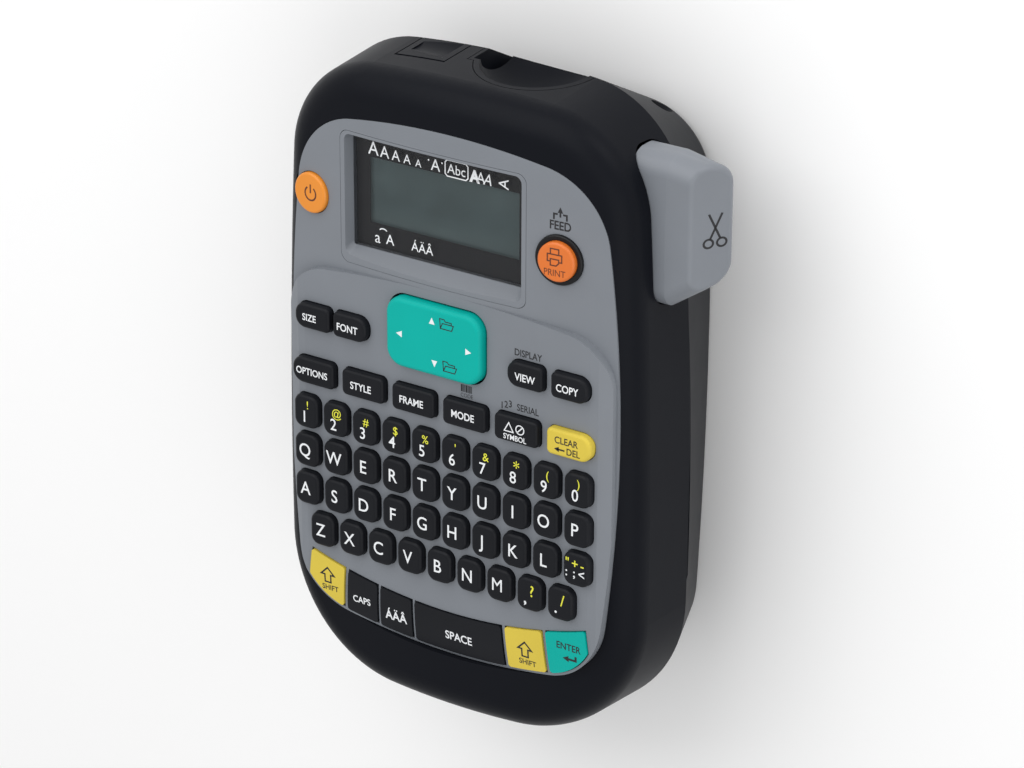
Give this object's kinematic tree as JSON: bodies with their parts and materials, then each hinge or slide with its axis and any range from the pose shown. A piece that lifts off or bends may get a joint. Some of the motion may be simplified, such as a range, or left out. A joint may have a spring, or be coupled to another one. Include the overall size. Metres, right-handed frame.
{
  "type": "label maker",
  "caption": "Hand-held label maker with a letter keyboard, display, side cutter button, tape cartridge and battery bays under a hinged back lid.",
  "frame": {"origin": "centre of the flat back face, which the object rests on", "axes": "+Z out of the keyboard, +Y towards the tape exit end, +X towards the cutter button"},
  "size_m": [0.1199, 0.1692, 0.0563],
  "materials": {
    "case_black": "satin",
    "plate_grey": "satin",
    "key_black": "matte",
    "key_yellow": "satin",
    "key_teal": "satin",
    "button_orange": "satin",
    "window": "gloss",
    "lcd": "satin",
    "steel": "satin",
    "aluminium": "satin",
    "brass": "satin",
    "board": "satin",
    "chip": "matte",
    "gear_white": "satin",
    "roller": "matte",
    "chassis_grey": "matte",
    "cell_can": "gloss",
    "cartridge": "satin",
    "tape": "satin"
  },
  "bodies": {
    "case": {"front_case": "case_black", "rear_case": "case_black", "faceplate": "plate_grey", "tape_exit_guide": "case_black", "display_bezel": "plate_grey", "display_window": "window", "lcd_panel": "lcd", "keypad_membrane": "roller", "print_ring": "case_black", "main_board": "board", "board_components": "chip", "dc_jack": "chip", "battery_cells": "cell_can", "battery_contacts": "steel", "chassis": "chassis_grey", "case_screws": "steel", "drive_motor": "steel", "printer_frame": "steel", "cartridge_case": "cartridge", "tape_strip": "tape", "fixed_blade": "steel"},
    "lid": {"back_lid": "case_black"},
    "latch": {"lid_latch": "case_black"},
    "cutter": {"cutter_button": "plate_grey"},
    "blade": {"moving_blade": "steel"},
    "platen": {"platen_shaft": "steel", "platen_gear": "gear_white", "platen_roller": "roller"},
    "idler": {"idler_gear": "gear_white"},
    "pinion": {"motor_pinion": "brass"},
    "ribbon": {"ribbon_spindle": "gear_white", "ribbon_takeup": "chip"},
    "supply": {"ribbon_supply": "chip"},
    "roll": {"tape_roll": "tape"},
    "head": {"head_arm": "aluminium", "print_head": "steel"},
    "gimbal": {"nav_gimbal": "gear_white"},
    "nav": {"nav_pad": "key_teal"},
    "power": {"power_button": "button_orange"},
    "print": {"print_button": "button_orange"},
    "keys_digits_row": {"keys_digits": "key_black"},
    "keys_upper_row": {"keys_upper": "key_black"},
    "keys_home_row": {"keys_home": "key_black"},
    "keys_lower_row": {"keys_lower": "key_black"},
    "key_options_cap": {"key_options": "key_black"},
    "key_style_cap": {"key_style": "key_black"},
    "key_frame_cap": {"key_frame": "key_black"},
    "key_mode_cap": {"key_mode": "key_black"},
    "key_symbol_cap": {"key_symbol": "key_black"},
    "key_clear_cap": {"key_clear": "key_yellow"},
    "key_size_cap": {"key_size": "key_black"},
    "key_font_cap": {"key_font": "key_black"},
    "key_preview_cap": {"key_preview": "key_black"},
    "key_copies_cap": {"key_copies": "key_black"},
    "key_shift_left_cap": {"key_shift_left": "key_yellow"},
    "key_caps_cap": {"key_caps": "key_black"},
    "key_accent_cap": {"key_accent": "key_black"},
    "key_space_cap": {"key_space": "key_black"},
    "key_shift_right_cap": {"key_shift_right": "key_yellow"},
    "key_enter_cap": {"key_enter": "key_teal"}
  },
  "joints": [
    {"name": "lid_hinge", "type": "hinge", "parent": "case", "child": "lid", "pos_m": [0, -0.0665, 0.0011], "axis": [-1, 0, 0], "range_deg": [0, 75]},
    {"name": "latch_flex", "type": "hinge", "parent": "lid", "child": "latch", "pos_m": [-0.017, 0.0715, 0.0094], "axis": [1, 0, 0], "range_deg": [0, 3], "stiffness_Nm_per_rad": 0.5},
    {"name": "cutter_press", "type": "slide", "parent": "case", "child": "cutter", "axis": [-1, 0, 0], "range_m": [0, 0.006], "stiffness_N_per_m": 300},
    {"name": "blade_swing", "type": "hinge", "parent": "case", "child": "blade", "pos_m": [0.0015, 0.068, 0.0106], "axis": [0, -1, 0], "range_deg": [0, 11.5]},
    {"name": "platen_spin", "type": "hinge", "parent": "case", "child": "platen", "pos_m": [-0.0088, 0.054, 0.023], "axis": [0, 0, 1], "continuous": true},
    {"name": "idler_spin", "type": "hinge", "parent": "case", "child": "idler", "pos_m": [-0.02184, 0.05606, 0.038], "axis": [0, 0, 1], "continuous": true},
    {"name": "pinion_spin", "type": "hinge", "parent": "case", "child": "pinion", "pos_m": [-0.03132, 0.05757, 0.038], "axis": [0, 0, 1], "continuous": true},
    {"name": "ribbon_spin", "type": "hinge", "parent": "case", "child": "ribbon", "pos_m": [-0.01539, 0.0392, 0.03], "axis": [0, 0, 1], "continuous": true},
    {"name": "supply_spin", "type": "hinge", "parent": "case", "child": "supply", "pos_m": [-0.021, 0.006, 0.023], "axis": [0, 0, 1], "continuous": true},
    {"name": "roll_spin", "type": "hinge", "parent": "case", "child": "roll", "pos_m": [0.0145, 0.017, 0.023], "axis": [0, 0, 1], "continuous": true},
    {"name": "head_swing", "type": "hinge", "parent": "case", "child": "head", "pos_m": [0.0022, 0.0432, 0.023], "axis": [0, 0, -1], "range_deg": [0, 6], "stiffness_Nm_per_rad": 0.3},
    {"name": "nav_up_down", "type": "hinge", "parent": "case", "child": "gimbal", "pos_m": [-0.00185, 0.01715, 0.0496], "axis": [1, 0, 0], "range_deg": [-3, 3], "stiffness_Nm_per_rad": 0.2},
    {"name": "nav_left_right", "type": "hinge", "parent": "gimbal", "child": "nav", "pos_m": [-0.00185, 0.01715, 0.0496], "axis": [0, 1, 0], "range_deg": [-3, 3], "stiffness_Nm_per_rad": 0.2},
    {"name": "power_press", "type": "slide", "parent": "case", "child": "power", "axis": [0.1194, 0, -0.9928], "range_m": [0, 0.001], "stiffness_N_per_m": 250},
    {"name": "print_press", "type": "slide", "parent": "case", "child": "print", "axis": [-0.0946, 0, -0.9955], "range_m": [0, 0.001], "stiffness_N_per_m": 250},
    {"name": "keys_digits_press", "type": "slide", "parent": "case", "child": "keys_digits_row", "axis": [0, 0, -1], "range_m": [0, 0.001], "stiffness_N_per_m": 250},
    {"name": "keys_upper_press", "type": "slide", "parent": "case", "child": "keys_upper_row", "axis": [0, 0, -1], "range_m": [0, 0.001], "stiffness_N_per_m": 250},
    {"name": "keys_home_press", "type": "slide", "parent": "case", "child": "keys_home_row", "axis": [0, 0, -1], "range_m": [0, 0.001], "stiffness_N_per_m": 250},
    {"name": "keys_lower_press", "type": "slide", "parent": "case", "child": "keys_lower_row", "axis": [0, 0, -1], "range_m": [0, 0.001], "stiffness_N_per_m": 250},
    {"name": "key_options_press", "type": "slide", "parent": "case", "child": "key_options_cap", "axis": [0, 0, -1], "range_m": [0, 0.001], "stiffness_N_per_m": 250},
    {"name": "key_style_press", "type": "slide", "parent": "case", "child": "key_style_cap", "axis": [0, 0, -1], "range_m": [0, 0.001], "stiffness_N_per_m": 250},
    {"name": "key_frame_press", "type": "slide", "parent": "case", "child": "key_frame_cap", "axis": [0, 0, -1], "range_m": [0, 0.001], "stiffness_N_per_m": 250},
    {"name": "key_mode_press", "type": "slide", "parent": "case", "child": "key_mode_cap", "axis": [0, 0, -1], "range_m": [0, 0.001], "stiffness_N_per_m": 250},
    {"name": "key_symbol_press", "type": "slide", "parent": "case", "child": "key_symbol_cap", "axis": [0, 0, -1], "range_m": [0, 0.001], "stiffness_N_per_m": 250},
    {"name": "key_clear_press", "type": "slide", "parent": "case", "child": "key_clear_cap", "axis": [0, 0, -1], "range_m": [0, 0.001], "stiffness_N_per_m": 250},
    {"name": "key_size_press", "type": "slide", "parent": "case", "child": "key_size_cap", "axis": [0, 0, -1], "range_m": [0, 0.001], "stiffness_N_per_m": 250},
    {"name": "key_font_press", "type": "slide", "parent": "case", "child": "key_font_cap", "axis": [0, 0, -1], "range_m": [0, 0.001], "stiffness_N_per_m": 250},
    {"name": "key_preview_press", "type": "slide", "parent": "case", "child": "key_preview_cap", "axis": [0, 0, -1], "range_m": [0, 0.001], "stiffness_N_per_m": 250},
    {"name": "key_copies_press", "type": "slide", "parent": "case", "child": "key_copies_cap", "axis": [0, 0, -1], "range_m": [0, 0.001], "stiffness_N_per_m": 250},
    {"name": "key_shift_left_press", "type": "slide", "parent": "case", "child": "key_shift_left_cap", "axis": [0, 0, -1], "range_m": [0, 0.0008], "stiffness_N_per_m": 250},
    {"name": "key_caps_press", "type": "slide", "parent": "case", "child": "key_caps_cap", "axis": [0, 0, -1], "range_m": [0, 0.0008], "stiffness_N_per_m": 250},
    {"name": "key_accent_press", "type": "slide", "parent": "case", "child": "key_accent_cap", "axis": [0, 0, -1], "range_m": [0, 0.0008], "stiffness_N_per_m": 250},
    {"name": "key_space_press", "type": "slide", "parent": "case", "child": "key_space_cap", "axis": [0, 0, -1], "range_m": [0, 0.0008], "stiffness_N_per_m": 250},
    {"name": "key_shift_right_press", "type": "slide", "parent": "case", "child": "key_shift_right_cap", "axis": [0, 0, -1], "range_m": [0, 0.0008], "stiffness_N_per_m": 250},
    {"name": "key_enter_press", "type": "slide", "parent": "case", "child": "key_enter_cap", "axis": [0, 0, -1], "range_m": [0, 0.0008], "stiffness_N_per_m": 250}
  ],
  "couplings": [
    {"joint": "blade_swing", "follows": "cutter_press", "rad_per_m": 32.87},
    {"joint": "idler_spin", "follows": "platen_spin", "ratio": -1.2},
    {"joint": "pinion_spin", "follows": "platen_spin", "ratio": 2},
    {"joint": "ribbon_spin", "follows": "platen_spin", "ratio": -0.8},
    {"joint": "roll_spin", "follows": "platen_spin", "ratio": -0.27778},
    {"joint": "supply_spin", "follows": "platen_spin", "ratio": -0.71429}
  ]
}
